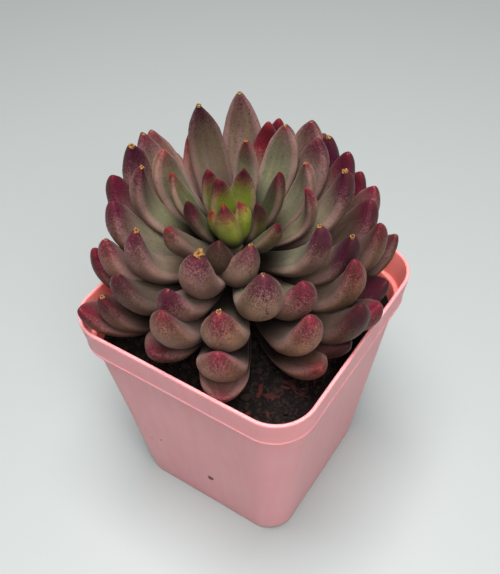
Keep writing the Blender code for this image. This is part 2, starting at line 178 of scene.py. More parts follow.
# Leaves that never grew or have dropped, which leaves gaps in the spiral
DROPPED_LEAVES = {8, 9, 22, 30, 47, 50, 53, 68, 71, 74}

# Leaves that stand off the rule: turn in degrees, then mm further out and mm higher at the tip
OUT_OF_STEP = {
    1: (21, 1, 3), 2: (-8, -3, -1), 3: (-11, 0, -4.5), 4: (6, 2, 1), 5: (-18, -4, -2.5),
    6: (-21, 3, -1), 7: (-19, -3, -3.5), 10: (7, 1, -2), 11: (1, -1.5, -1.5), 12: (-14, -1, 0.5),
    13: (-17, -3.8, -4.2), 14: (25, 1.5, 0), 15: (11, 1, 1), 16: (-5, 1, 0), 17: (1, -1, 1),
    18: (-12, -7.5, -6), 19: (0, 4, 2), 21: (-1, -1.5, 1), 23: (-1.5, 0.4, 1), 24: (5, 1, -1),
    25: (-1.5, 1.5, 1), 26: (4, 1, 3), 27: (-5, -2, 0), 28: (5, 1.4, 3), 29: (8, 2, -3),
    31: (-10.5, -0.5, -2), 34: (1.2, 0.8, 1), 35: (5, 4, -2), 36: (-5, -2, -2), 37: (3, 1.5, -1),
    38: (-1.5, -3, -0.5), 39: (0.5, 2.4, -1), 41: (6, 0, 1.5), 42: (-4, -0.3, 1), 43: (-2, 2, 2),
    44: (-1, -2.2, 0.5), 45: (0, -2.5, -0.5), 46: (-3, 0, 2.5), 48: (-0.5, -1, 2), 49: (1.5, -1, -1),
    51: (-4, 3, 3), 52: (6, 3.2, 1), 54: (6.5, -1.5, 1.5), 55: (4, 0, 0), 56: (0.5, 2, -1.5),
    57: (8, -1.5, 4), 58: (2, 0, -2.5), 60: (6, 2.5, -9.5), 61: (0, -4, 0), 63: (-8, -1.5, -9.5),
    65: (0, 2, -1), 66: (-4, -4, 0.5), 67: (-4, -2, 5), 69: (0, -2, 0), 70: (-0.5, 2, -3),
    73: (3, 0, -4), 75: (-5.5, -2, 4), 76: (7, 0.5, -7.5), 78: (-1, -2, -2), 79: (-1.5, 1.5, 0),
}

# A few leaves' own shapes: tip and middle pushed sideways in mm, more or less bend, share of the
# width, and a sharper or rounder end
SWAY = {5: -2.2}
CURL = {12: -1.2, 18: -6.0, 21: -2.5, 34: 1.0, 43: -2.0, 51: -2.0}
SAG = {
    10: -0.10, 11: -0.11, 12: -0.10, 14: -0.07, 15: 0.08, 16: -0.12, 19: 0.10, 20: 0.03, 24: 0.08,
    34: 0.03, 39: 0.06, 44: 0.05, 63: -0.05,
}
GIRTH = {
    1: 1.35, 3: 0.7, 4: 1.08, 5: 1.06, 7: 0.95, 10: 1.08, 11: 1.02, 12: 1.05, 13: 1.35, 14: 0.96,
    15: 0.8, 16: 1.12, 17: 0.9, 18: 1.3, 20: 0.88, 21: 1.22, 25: 1.05, 26: 1.18, 28: 0.93,
    31: 1.08, 34: 1.03, 35: 0.9, 36: 0.93, 37: 0.92, 38: 0.75, 40: 0.88, 41: 0.82, 43: 0.92,
    45: 0.92, 54: 1.04, 55: 1.04, 57: 0.9, 58: 0.93, 59: 0.8, 63: 1.04, 66: 0.85, 70: 0.9,
    76: 1.05,
}
POINTED = {
    5: 0.1, 7: 0.2, 10: 0.12, 11: 0.15, 12: 0.2, 13: -0.15, 14: 0.2, 21: -0.18, 23: -0.05,
    24: -0.05, 26: -0.12, 34: -0.06, 35: 0.1, 39: -0.08, 42: -0.08, 43: 0.1, 48: 0.06, 51: 0.1,
    55: -0.1, 56: 0.08, 63: -0.08, 76: -0.1,
}

# How much some low leaves are straightened and raised, to clear the pot's wall
SETTLED = {60: 3, 63: 4, 65: 2, 69: 2, 73: 5, 75: 1, 76: 7, 77: 3, 78: 3, 79: 3}
SETTLE_UNBEND = 0.03
SETTLE_RISE = 0.2 * MM
SETTLE_PULL = 0.1 * MM

# How far single leaves stray by chance
TURN_SPREAD = radians(1.5)
REACH_SPREAD = 0.5 * MM
ROLL_SPREAD = radians(6.0)
LEAF_SEED = 11

# Leaf skin, and the share of its length at which the point starts
LEAF_SIDES = 30
LEAF_RINGS = 28
TIP_FROM = 0.93

# Patterns per metre in the shapes: lumps on leaves, facets on crumbs and bends along fibres
LEAF_LUMPS = 140.0
CRUMB_FACETS = 900.0
FIBRE_BENDS = 260.0

# How each leaf has coloured, in hundredths: tint of the blush from dark purple at 0 to orange red at
# 100, how far it has spread from the tip, and the flesh below from mauve at 0 to tan at 100
LEAF_LOOKS = {
    1: (45, 44, 50), 2: (75, 22, 50), 3: (95, 30, 50), 4: (35, 49, 50), 5: (60, 45, 40),
    6: (50, 40, 50), 7: (30, 55, 30), 10: (45, 22, 40), 11: (30, 42, 50), 12: (45, 25, 50),
    13: (50, 12, 30), 14: (70, 12, 60), 15: (50, 20, 30), 16: (70, 14, 30), 17: (45, 16, 40),
    18: (35, 18, 30), 19: (25, 22, 40), 20: (45, 8, 40), 21: (15, 21, 20), 23: (15, 33, 50),
    24: (20, 23, 20), 25: (30, 10, 70), 26: (10, 23, 80), 27: (55, 8, 60), 28: (15, 34, 40),
    29: (20, 27, 20), 31: (40, 24, 50), 32: (25, 28, 50), 33: (25, 20, 40), 34: (45, 19, 100),
    35: (30, 18, 50), 36: (10, 46, 30), 37: (30, 22, 50), 38: (80, 50, 10), 39: (45, 20, 100),
    40: (40, 36, 40), 41: (35, 38, 40), 42: (45, 15, 70), 43: (5, 22, 60), 44: (55, 21, 100),
    45: (45, 18, 30), 46: (15, 14, 80), 48: (5, 33, 30), 49: (35, 28, 60), 51: (15, 8, 60),
    52: (35, 28, 70), 54: (10, 44, 20), 55: (40, 17, 70), 56: (35, 9, 60), 57: (60, 18, 100),
    58: (45, 22, 80), 59: (70, 45, 30), 60: (75, 11, 60), 62: (40, 18, 60), 63: (45, 18, 70),
    65: (45, 25, 60), 66: (60, 35, 40), 67: (30, 30, 40), 70: (40, 12, 90), 73: (40, 30, 50),
    75: (60, 44, 40), 76: (45, 9, 70), 78: (30, 38, 80), 79: (60, 25, 70),
}

# Least and most of each look on leaves without their own, and the most that powder covers
UNSEEN_LOOK = ((0, 100), (15, 40), (0, 100))
MOST_POWDER = 0.38

# Painted shade on leaves that lie under others: how much darker each is than the rest, in hundredths
SHADED_LEAVES = {
    1: 30, 2: 10, 4: 22, 6: 20, 7: 55, 10: 40, 11: 45, 12: 50, 13: 86, 16: 38, 18: 50, 31: 8,
    33: 20, 34: 8, 36: 18, 37: 52, 40: 15, 41: 10, 42: 30, 43: 48, 44: 34, 45: 12, 48: 10, 49: 34,
    51: 18, 52: 64, 57: 46, 58: 50, 60: 38, 63: 38, 70: 45, 73: 84, 75: 25, 78: 52, 79: 25,
}

# Tips at this height have nothing above them; this far below it, leaves hang over their roots, and the
# painted shade at their roots reaches further out
OPEN_HEIGHT = 98.0 * MM
OVERHANG = 16.0 * MM

# How plain a healed crease each scarred leaf shows, from 0 to 1
SCARRED = {16: 0.4, 18: 0.7, 26: 1.0, 29: 0.4, 39: 0.4, 42: 0.3, 54: 0.6}

# Dried points on leaf tips: width in tenths of a mm, and how far each is a ring round a pit, from 0
# to 10; how far out they sit, and how far their patterns lie apart from one leaf to the next
DRY_POINTS = {
    17: (9, 0), 18: (11, 2), 19: (11, 3), 20: (8, 6), 21: (25, 0), 23: (11, 6), 24: (15, 4),
    25: (9, 2), 26: (13, 1), 27: (7, 2), 28: (14, 1), 29: (8, 5), 33: (7, 3), 34: (13, 10),
    35: (10, 3), 36: (13, 9), 37: (9, 9), 38: (6, 3), 41: (9, 4), 43: (13, 3), 44: (6, 3),
    45: (9, 4), 46: (9, 2), 48: (17, 4), 51: (12, 1), 52: (7, 5), 54: (14, 2), 55: (5, 3),
    56: (10, 2), 58: (12, 5), 59: (6, 2), 62: (7, 2), 63: (6, 6), 64: (9, 3), 67: (9, 2),
    70: (9, 2), 72: (8, 3), 77: (7, 2), 79: (8, 5),
}
DRY_OUT = 0.2 * MM
DRY_OWN = 1.37

# The photograph's view, and the daylight: name, place, width in metres and watts of each lamp
VIEW_TURN = radians(34.419)
VIEW_TILT = radians(45.937)
VIEW_ROLL = radians(-1.911)
VIEW_TARGET = Vector((-0.015181, 0.023549, 0.042828))
VIEW_DISTANCE = 0.253328
SENSOR_HEIGHT = 36.0
FOCAL_PIXELS = 800.0
PICTURE_PIXELS = 574.0
NEAREST = 0.01
LAMPS = (
    ("window", Vector((0.30, -0.28, 0.60)), 0.40, 4.4),
    ("ceiling", Vector((0.0, -0.05, 0.80)), 0.40, 9.2),
)
LIT_PLACE = Vector((0, 0, 0.06))
SURROUND = {"Color": "#EEF4F8", "Strength": 0.13}
BOARD_HALF = 3.0

# Node settings that recur, and the families of node kinds
TIMES = {"operation": "MULTIPLY"}
SMOOTH = {"interpolation_type": "SMOOTHSTEP"}
COLOURS = {"data_type": "RGBA"}
VECTORS = {"data_type": "FLOAT_VECTOR"}
NODE_FAMILIES = ("ShaderNode", "GeometryNode", "FunctionNode", "Node")


def linear(hex_colour):
    """An sRGB hex colour as linear red, green, blue and alpha."""
    shares = [int(hex_colour[i:i + 2], 16) / 255 for i in (1, 3, 5)]
    bright = [s / 12.92 if s <= 0.04045 else ((s + 0.055) / 1.055) ** 2.4 for s in shares]
    return (*bright, 1.0)


def plug(tree, node, inputs):
    """Set a node's inputs, by place or name, to values, hex colours, sockets or nodes."""
    shown = [socket for socket in node.inputs if socket.enabled]
    for key, value in inputs.items():
        socket = shown[key] if isinstance(key, int) else next(s for s in shown if s.name == key)
        if isinstance(value, bpy.types.Node):
            value = next(s for s in value.outputs if s.enabled)
        if isinstance(value, bpy.types.NodeSocket):
            tree.links.new(value, socket)
        elif value is not None:
            socket.default_value = linear(value) if str(value).startswith("#") else value


def add(tree, kind, *inputs, stops=(), **settings):
    """A node with its settings, and its inputs in order or by name. None leaves an input alone."""
    family = next(name for name in NODE_FAMILIES if hasattr(bpy.types, name + kind))
    node = tree.nodes.new(family + kind)
    for name, value in settings.items():
        setattr(node, name, value)
    for place, value in enumerate(inputs):
        plug(tree, node, value if isinstance(value, dict) else {place: value})
    if stops:
        marks = node.color_ramp.elements
        while len(marks) < len(stops):
            marks.new(1.0)
        for mark, (place, shade) in zip(marks, stops):
            mark.position = place
            mark.color = linear(shade)
    return node


def new_material(name):
    """An empty node material, and the function that adds its nodes."""
    made = bpy.data.materials.new(name)
    made.use_nodes = True
    return made, partial(add, made.node_tree)


def surface(made, inputs):
    """The material, with these inputs set on its Principled shader."""
    plug(made.node_tree, made.node_tree.nodes["Principled BSDF"], inputs)
    return made


def show(name, data):
    """A new object in the scene, at the origin."""
    made = bpy.data.objects.new(name, data)
    bpy.context.scene.collection.objects.link(made)
    return made


def mesh_of(bm, name):
    """A mesh made from a bmesh, which is freed."""
    mesh = bpy.data.meshes.new(name)
    bm.to_mesh(mesh)
    bm.free()
    return mesh


def new_piece(name, bm, material):
    """A smooth mesh object made from a bmesh, with one material."""
    mesh = mesh_of(bm, name)
    mesh.materials.append(material)
    mesh.shade_smooth()
    return show(name, mesh)


def evaluated_mesh(made):
    """A plain mesh of an object as its modifiers leave it."""
    bpy.context.view_layer.update()
    done = made.evaluated_get(bpy.context.evaluated_depsgraph_get())
    return bpy.data.meshes.new_from_object(done)


def store(mesh, **columns):
    """Keep numbers or vectors on a mesh's points, as attributes."""
    for name, values in columns.items():
        kind, field = ("FLOAT_VECTOR", "vector") if isinstance(values[0], Vector) else ("FLOAT", "value")
        layer = mesh.attributes.new(name, kind, "POINT")
        layer.data.foreach_set(field, np.array(values).ravel())


def grow(name, mesh, nodes, inputs):
    """A plain mesh object: a base mesh run through a tree that a function fills with nodes."""
    tree = bpy.data.node_groups.new(name, "GeometryNodeTree")
    for way in ("INPUT", "OUTPUT"):
        tree.interface.new_socket("Geometry", in_out=way, socket_type="NodeSocketGeometry")
    kinds = {int: "Int", float: "Float", bpy.types.Material: "Material"}
    sockets = {label: tree.interface.new_socket(
        label, in_out="INPUT", socket_type="NodeSocket" + kinds[type(value)])
        for label, value in inputs.items()}
    put = partial(add, tree)
    given = {socket.name: socket for socket in put("GroupInput").outputs}
    put("GroupOutput", put("SetMaterial", nodes(put, given), None, given["Material"]))
    base = show(name + "_base", mesh)
    modifier = base.modifiers.new(name, "NODES")
    modifier.node_group = tree
    for label, value in inputs.items():
        modifier[sockets[label].identifier] = value
    made = show(name, evaluated_mesh(base))
    bpy.data.objects.remove(base)
    return made


def balls(put, given):
    """A sphere at each point, as plain mesh, with its round form kept as an attribute."""
    ball = put("MeshUVSphere", given["Sides"], given["Rings"], 1.0)
    marked = put("StoreNamedAttribute", ball, None, "blank", put("InputPosition"), **VECTORS)
    return put("RealizeInstances", put("InstanceOnPoints", given["Geometry"], None, marked))


def grown(values, number):
    """The value for a leaf of this number, read between the growth stages."""
    return float(np.interp(number, GROWTH_STAGE, values))


def plant_frame():
    """The plant's own frame: its axis leans, and its origin is the middle of the crown."""
    across = Vector((-sin(LEAN_TOWARDS), cos(LEAN_TOWARDS), 0))
    return Matrix.Translation(CROWN_PLACE) @ Matrix.Rotation(LEAN_ANGLE, 4, across)


def leaf_line(number):
    """Root, bow and tip of one leaf's bent middle line, its sideways direction and its roll."""
    straighter = SETTLED.get(number, 0)
    draw = random.Random(LEAF_SEED * 1000 + number)
    turn, further, higher = OUT_OF_STEP.get(number, (0, 0, 0))
    angle = SPIRAL_START + SPIRAL_STEP * number + draw.uniform(-TURN_SPREAD, TURN_SPREAD)
    angle += radians(turn)
    reach = (grown(TIP_REACH, number) + further) * MM + draw.uniform(-REACH_SPREAD, REACH_SPREAD)
    reach -= straighter * SETTLE_PULL
    rise = (grown(TIP_RISE, number) + higher) * MM + straighter * SETTLE_RISE
    roll = draw.uniform(-ROLL_SPREAD, ROLL_SPREAD)
    outward = Vector((cos(angle), sin(angle), 0))
    upward = Vector((0, 0, 1))
    root = (outward * grown(ROOT_REACH, number) + upward * grown(ROOT_RISE, number)) * MM
    side = upward.cross(outward)
    tip = outward * reach + side * SWAY.get(number, 0) * MM + upward * rise
    bend = grown(LEAF_BEND, number) + SAG.get(number, 0) - straighter * SETTLE_UNBEND
    bow = root.lerp(tip, grown(BEND_AT, number)) - (tip - root).cross(side) * 2 * bend
    bow += side * CURL.get(number, 0) * MM
    place = plant_frame()
    return place @ root, place @ bow, place @ tip, place.to_3x3() @ side, roll


def leaf_points(numbers, lines):
    """One point for each leaf, which carries its line, its girth, its own tints and its painted shade as
    attributes.
    """
    mesh = bpy.data.meshes.new("leaf_points")
    roots, bows, tips, sides, rolls = zip(*lines)
    mesh.from_pydata(roots, [], [])
    draw = random.Random(LEAF_SEED)
    looks = [LEAF_LOOKS.get(n, [draw.uniform(*span) for span in UNSEEN_LOOK]) for n in numbers]
    tones, blushes, warmths = np.array(looks).T / 100
    staged = {"back_bulge": BACK_BULGE, "inner_bulge": INNER_BULGE, "widest_at": WIDEST_AT,
              "edge_power": EDGE_POWER}
    store(
        mesh, leaf_root=roots, leaf_bow=bows, leaf_tip=tips, leaf_side=sides, leaf_roll=rolls,
        half_width=[grown(LEAF_WIDTH, n) * GIRTH.get(n, 1) * MM / 2 for n in numbers],
        edge_bluntness=[grown(EDGE_BLUNTNESS, n) + POINTED.get(n, 0) for n in numbers],
        age=[n / LEAF_NUMBERS[-1] for n in numbers],
        tone=tones, blush=blushes, warmth=warmths,
        scar=[SCARRED.get(n, 0.0) for n in numbers],
        dusk=[SHADED_LEAVES.get(n, 0) / 100 for n in numbers],
        overhung=[min(max((OPEN_HEIGHT - tip.z) / OVERHANG, 0), 1) for tip in tips],
        **{name: [grown(values, n) for n in numbers] for name, values in staged.items()},
    )
    return mesh


def leaf_nodes(put, given):
    """Turn a sphere at each leaf's point into that leaf, bent along its own line."""
    skin = balls(put, given)
    blank, root, bow, tip, side = [put("InputNamedAttribute", name, **VECTORS) for name in (
        "blank", "leaf_root", "leaf_bow", "leaf_tip", "leaf_side")]
    roll, half_width, back_bulge, inner_bulge, widest_at, edge_power, edge_bluntness = [
        put("InputNamedAttribute", name) for name in (
            "leaf_roll", "half_width", "back_bulge", "inner_bulge", "widest_at", "edge_power",
            "edge_bluntness")]
    x, y, z = put("SeparateXYZ", blank).outputs
    girth = put("VectorMath", put("CombineXYZ", x, y), operation="LENGTH")
    across = put("Math", x, girth, operation="DIVIDE")
    inner = put("Math", y, girth, operation="DIVIDE")
    polar = put("Math", put("Math", z, -1.0, **TIMES), operation="ARCCOSINE")
    risen = put("Math", put("Math", polar, 0.5, **TIMES), operation="SINE")
    share = put("Math", risen, given["Ring spread"], operation="POWER")

    lower = put("Mix", share, root, bow, data_type="VECTOR")
    upper = put("Mix", share, bow, tip, data_type="VECTOR")
    middle = put("Mix", share, lower, upper, data_type="VECTOR")
    step = put("VectorMath", upper, lower, operation="SUBTRACT")
    along = put("VectorMath", step, operation="NORMALIZE")
    up = put("VectorMath", along, side, operation="CROSS_PRODUCT")
    sideways, upwards = [put("VectorRotate", way, None, along, roll) for way in (side, up)]

    # The root swells to the widest place; from there the tip side narrows to the point
    before = put("Math", share, widest_at, operation="DIVIDE")
    quarter = put("Math", put("Math", before, pi / 2, **TIMES), operation="SINE")
    root_side = put("MapRange", quarter, 0.0, 1.0, given["Root share"], 1.0)
    beyond = put("MapRange", share, widest_at, 1.0)
    on_tip_side = put("Math", share, widest_at, operation="GREATER_THAN")
    swells = []
    for power, bluntness in ((edge_power, edge_bluntness),
                             (given["Back power"], given["Back bluntness"])):
        left = put("Math", 1.0, put("Math", beyond, power, operation="POWER"), operation="SUBTRACT")
        left = put("Math", left, 0.0, operation="MAXIMUM")
        tip_side = put("Math", left, bluntness, operation="POWER")
        swells.append(put("Math", put("Mix", on_tip_side, root_side, tip_side), half_width, **TIMES))

    inside = put("Math", inner, 0.0, operation="GREATER_THAN")
    thick = put("Math", swells[1], put("Mix", inside, back_bulge, inner_bulge), **TIMES)
    thick = put("Math", thick, inner, **TIMES)
    wide = put("Math", swells[0], across, **TIMES)

    # The very tip runs out into a small soft point
    near_tip = put("Math", put("MapRange", share, TIP_FROM, 1.0), 2.0, operation="POWER")
    point = put("Math", near_tip, given["Tip point"], **TIMES)
    place = middle
    for way, reach in ((sideways, wide), (upwards, thick), (along, point)):
        place = put("VectorMath", place, put("VectorMath", way, reach, operation="SCALE"))
    shaped = put("SetPosition", skin, None, place)

    # Shallow lumps and hollows, as on any fleshy leaf
    lumps = put("TexNoise", put("InputPosition"), given["Lump scale"])
    level = put("MapRange", lumps, 0.2, 0.8, -0.5, 0.5)
    height = put("Math", level, given["Lump height"], **TIMES)
    nudge = put("VectorMath", put("InputNormal"), height, operation="SCALE")
    done = put("SetPosition", shaped, {"Offset": nudge})
    margin = put("Math", across, operation="ABSOLUTE")
    for name, value in (("share", share), ("inner", inner), ("margin", margin), ("across", across)):
        done = put("StoreNamedAttribute", done, None, name, value)
    return put("SetShadeSmooth", done)


# Fleshy succulent leaf, grown. Its cells hold pigment under a matt powder of wax, so the colour runs
# from a green heart to mauve and tan old leaves with dark crimson tips, and shows no gloss. Shade
# between and under the leaves is painted into the colour too.
def leaf_material():
    made, put = new_material("grown succulent leaf under wax powder")
    spot = put("TexCoord").outputs["Object"]
    age, tone, blush, warmth, scar, dusk, overhung, share, inner, margin, across = [
        put("Attribute", attribute_name=name).outputs["Fac"] for name in (
            "age", "tone", "blush", "warmth", "scar", "dusk", "overhung", "share", "inner", "margin",
            "across")]

    # Flesh of the back, mauve or tan, and of the inner face, by age
    back = put("ValToRGB", age, stops=(
        (0.0, "#8CA020"), (0.06, "#8A9A28"), (0.11, "#84843E"), (0.17, "#947A6A"), (0.27, "#B2877A"),
        (0.45, "#B48778"), (0.70, "#AC7D6A"), (1.0, "#A07160")))
    tan = put("ValToRGB", age, stops=(
        (0.0, "#98A826"), (0.12, "#8C8C48"), (0.27, "#CAA988"), (0.60, "#C89A6C"), (1.0, "#B4885E")))
    back = put("Mix", warmth, back, tan, **COLOURS)
    front = put("ValToRGB", age, stops=(
        (0.0, "#86981E"), (0.08, "#687626"), (0.15, "#3A4622"), (0.25, "#566042"), (0.36, "#5C5A46"),
        (0.60, "#645042"), (1.0, "#584438")))
    rosy = put("MapRange", warmth, 0.1, 0.5, 0.75, 0.0)
    rosy = put("Math", rosy, put("MapRange", age, 0.1, 0.2), **TIMES)
    front = put("Mix", rosy, front, "#80645A", **COLOURS)
    body = put("Mix", put("MapRange", inner, -0.15, 0.40, **SMOOTH), back, front, **COLOURS)

    # Drifts of mauve and olive, and fine veins, drawn out along the leaf and different on each
    own = put("Math", age, 400.0, **TIMES)
    drift, veins = [put("CombineXYZ", put("Math", across, wide, **TIMES),
                        put("Math", share, long, **TIMES), own)
                    for wide, long in ((2.2, 1.6), (26.0, 2.0))]
    drift = put("TexNoise", drift, 1.0, 3.0, 0.55)
    mauve = put("MapRange", drift, 0.50, 0.68, 0.0, 0.30)
    olive = put("MapRange", drift, 0.48, 0.32, 0.0, 0.22)
    veins = put("MapRange", put("TexNoise", veins, 1.0), 0.38, 0.62, 0.12, 0.0)

    # Paler rosy edges, wider on the inner face
    rim = put("Math", margin, put("MapRange", inner, -0.1, 0.3, 0.85, 0.62), operation="SUBTRACT")
    rim = put("MapRange", rim, 0.0, 0.30, 0.0, 0.55, **SMOOTH)

    # Blush over the tip, breaking up into grains and reaching down the back
    reach = put("Math", blush, 0.60, share, operation="MULTIPLY_ADD")
    grains = put("TexNoise", spot, PER_MM / 0.45, 3.0, 0.7)
    ragged = put("TexNoise", spot, PER_MM / 2.4, 3.0, 0.6)
    for more in (put("MapRange", grains, 0.3, 0.7, -0.08, 0.08),
                 put("MapRange", ragged, 0.3, 0.7, -0.02, 0.02),
                 put("MapRange", inner, 0.4, -0.6, -0.02, 0.02, **SMOOTH)):
        reach = put("Math", reach, more)
    blushed = put("Math", put("MapRange", reach, 0.72, 1.0, 0.0, 0.26, **SMOOTH),
                  put("MapRange", reach, 0.90, 1.14, 0.0, 0.72, **SMOOTH))
    allowed = put("Math", put("MapRange", age, 0.05, 0.14),
                  put("MapRange", share, 0.7, 0.95, 0.4, 1.0), operation="MAXIMUM")
    blushed = put("Math", blushed, allowed, **TIMES)
    blush_tint = put("ValToRGB", tone, stops=(
        (0.0, "#3A0C24"), (0.25, "#500E2C"), (0.5, "#64102C"), (0.75, "#6E1428"), (1.0, "#7C241E")))
    deep = put("MapRange", reach, 1.06, 1.24, 0.0, 0.6, **SMOOTH)

    # Red or dark end of the point
    end = put("MapRange", share, 0.955, 0.995, 0.0, 0.75, **SMOOTH)
    end = put("Math", end, put("MapRange", age, 0.15, 0.35, 1.0, 0.35), **TIMES)
    end_tint = put("ValToRGB", tone, stops=(
        (0.0, "#32141C"), (0.4, "#7A1824"), (0.8, "#962624"), (1.0, "#A8482C")))

    # Freckles a third of a millimetre wide, thickest towards the tip
    freckles = put("MapRange", put("TexVoronoi", spot, PER_MM / 1.25), 0.12, 0.26, 1.0, 0.0)
    for part in (put("MapRange", put("TexNoise", spot, PER_MM / 6.5), 0.46, 0.56),
                 put("MapRange", share, 0.35, 0.8, 0.12, 0.70), put("MapRange", age, 0.1, 0.3)):
        freckles = put("Math", freckles, part, **TIMES)

    # A healed crease and pricks down a few leaves
    wander = put("TexNoise", spot, PER_MM / 4.0, 3.0, 0.7)
    crease = put("Math", across, put("MapRange", wander, 0.3, 0.7, -0.22, 0.22))
    crease = put("MapRange", put("Math", crease, operation="ABSOLUTE"), 0.02, 0.05, 0.85, 0.0)
    for part in (put("MapRange", put("TexNoise", spot, PER_MM / 1.4, 1.0), 0.42, 0.55),
                 put("MapRange", share, 0.58, 0.68), put("MapRange", share, 0.97, 0.92), scar):
        crease = put("Math", crease, part, **TIMES)

    # Wax powder, rubbed thin in fine blotches and from the tip
    powder = put("TexNoise", spot, PER_MM / 0.8, 5.0, 0.75)
    powder = put("MapRange", powder, 0.36, 0.70, 0.0, MOST_POWDER)
    for part in (put("MapRange", blushed, 0.0, 0.75, 1.0, 0.08),
                 put("MapRange", age, 0.04, 0.2, 0.2, 1.0),
                 put("MapRange", inner, -0.2, 0.3, 0.75, 0.25)):
        powder = put("Math", powder, part, **TIMES)

    # Painted shade at the back's edges, which face the leaves beside it, and where a leaf faces the
    # ground
    edge_shade = put("MapRange", margin, 0.5, 1.0, 0.0, 0.45, **SMOOTH)
    edge_shade = put("Math", edge_shade, put("MapRange", inner, 0.1, -0.25), **TIMES)
    # Painted shade on flesh that faces downwards, read from its normal
    upward = put("SeparateXYZ", put("NewGeometry").outputs["Normal"]).outputs["Z"]
    ground_facing_shade = put("MapRange", upward, 0.12, -0.60, 0.0, 0.62, **SMOOTH)

    # Painted shade: the root, pressed between its neighbours, is painted dark, and further out where
    # leaves hang over it
    below = put("MapRange", inner, -0.5, -1.0, 0.50, 0.60)
    above = put("MapRange", inner, -0.1, 0.4, 0.54, 0.70)
    dark_end = put("Mix", overhung, 0.30, put("Math", below, above, operation="MAXIMUM"))
    shaded = put("Math", share, dark_end, operation="SUBTRACT")
    shaded = put("MapRange", shaded, -0.14, 0.26, 0.96, 0.0, **SMOOTH)

    # The last four layers are painted shade: at the back's edges, under the leaf, on leaves under others
    # and at the root
    for amount, tint in (
            (mauve, "#92707A"), (olive, "#8A825C"), (veins, "#4A3432"), (rim, "#A07A76"),
            (blushed, blush_tint), (deep, "#240A14"), (end, end_tint), (freckles, "#260E16"),
            (crease, "#2A1A18"), (powder, "#BEA190"), (edge_shade, "#38241E"), (ground_facing_shade, "#1C110D"),
            (dusk, "#1C120E"), (shaded, "#0A0705")):
        body = put("Mix", amount, body, tint, **COLOURS)

    grain = put("TexNoise", spot, PER_MM / 0.4, 3.0)
    dimples = put("TexVoronoi", spot, PER_MM / 0.65)
    height = put("Math", dimples, 0.6, grain, operation="MULTIPLY_ADD")
    return surface(made, {
        "Base Color": body, "Roughness": put("MapRange", powder, 0.0, MOST_POWDER, 0.5, 0.7),
        "Normal": put("Bump", 0.7, 0.08 * MM, None, height),
        "Subsurface Weight": 0.05, "Subsurface Radius": (1.0, 0.35, 0.2),
        "Subsurface Scale": 1.5 * MM, "Specular IOR Level": 0.12, "Sheen Weight": 0.05,
        "Sheen Roughness": 0.4, "Sheen Tint": "#E8D8D4",
    })


def leaves(numbers, lines):
    """All the leaves as one piece."""
    inputs = {
        "Sides": LEAF_SIDES, "Rings": LEAF_RINGS, "Ring spread": 1.25, "Root share": 0.45,
        "Back power": 2.9, "Back bluntness": 0.52, "Tip point": 0.6 * MM, "Lump scale": LEAF_LUMPS,
        "Lump height": 0.5 * MM, "Material": leaf_material(),
    }
    made = grow("leaves", leaf_points(numbers, lines), leaf_nodes, inputs)
    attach(made, "root")
    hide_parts("rosette")


def rounded_square(half, radius, z):
    """Points round a square with rounded corners, anticlockwise seen from above."""
    points = []
    for corner in range(4):
        turn = Matrix.Rotation(radians(90 * corner), 3, "Z")
        centre = turn @ Vector((half - radius, half - radius, 0))
        for step in range(POT_CORNER_STEPS + 1):
            angle = radians(90 * (corner + step / POT_CORNER_STEPS))
            points.append(centre + Vector((radius * cos(angle), radius * sin(angle), z)))
        last = points[-1]
        following = turn @ Vector((radius - half, half, z))
        points += [last.lerp(following, step / POT_SIDE_STEPS) for step in range(1, POT_SIDE_STEPS)]
    return points


def loft(rings):
    """A closed skin through rings of equal length, its first and last ring filled."""
    bm = bmesh.new()
    rows = [[bm.verts.new(point) for point in ring] for ring in rings]
    for lower, upper in zip(rows, rows[1:]):
        for i, vert in enumerate(lower):
            j = (i + 1) % len(lower)
            bm.faces.new((vert, lower[j], upper[j], upper[i]))
    bm.faces.new(reversed(rows[0]))
    bm.faces.new(rows[-1])
    return bm


def blend(low, high, share):
    """The value at a share of the way from low to high."""
    return low + (high - low) * share


def body_at(z, inset=0.0):
    """Half width and corner radius of the pot's tapered body at a height, inset from its outside."""
    share = z / COLLAR_FOOT
    return (blend(BASE_HALF, BODY_TOP_HALF, share) - inset,
            blend(BASE_CORNER, MOUTH_CORNER, share) - inset)


def arc(half, corner, z, radius, start, end, steps=5):
    """Sections round an edge, about a centre line; 0 degrees points outwards and 90 up."""
    found = []
    for step in range(steps + 1):
        angle = radians(blend(start, end, step / steps))
        out = radius * cos(angle)
        found.append((half + out, corner + out, z + radius * sin(angle)))
    return found


def slope(start, end, steps):
    """Sections spread evenly from one section, left out, to another."""
    return [[blend(low, high, step / steps) for low, high in zip(start, end)]
            for step in range(1, steps + 1)]


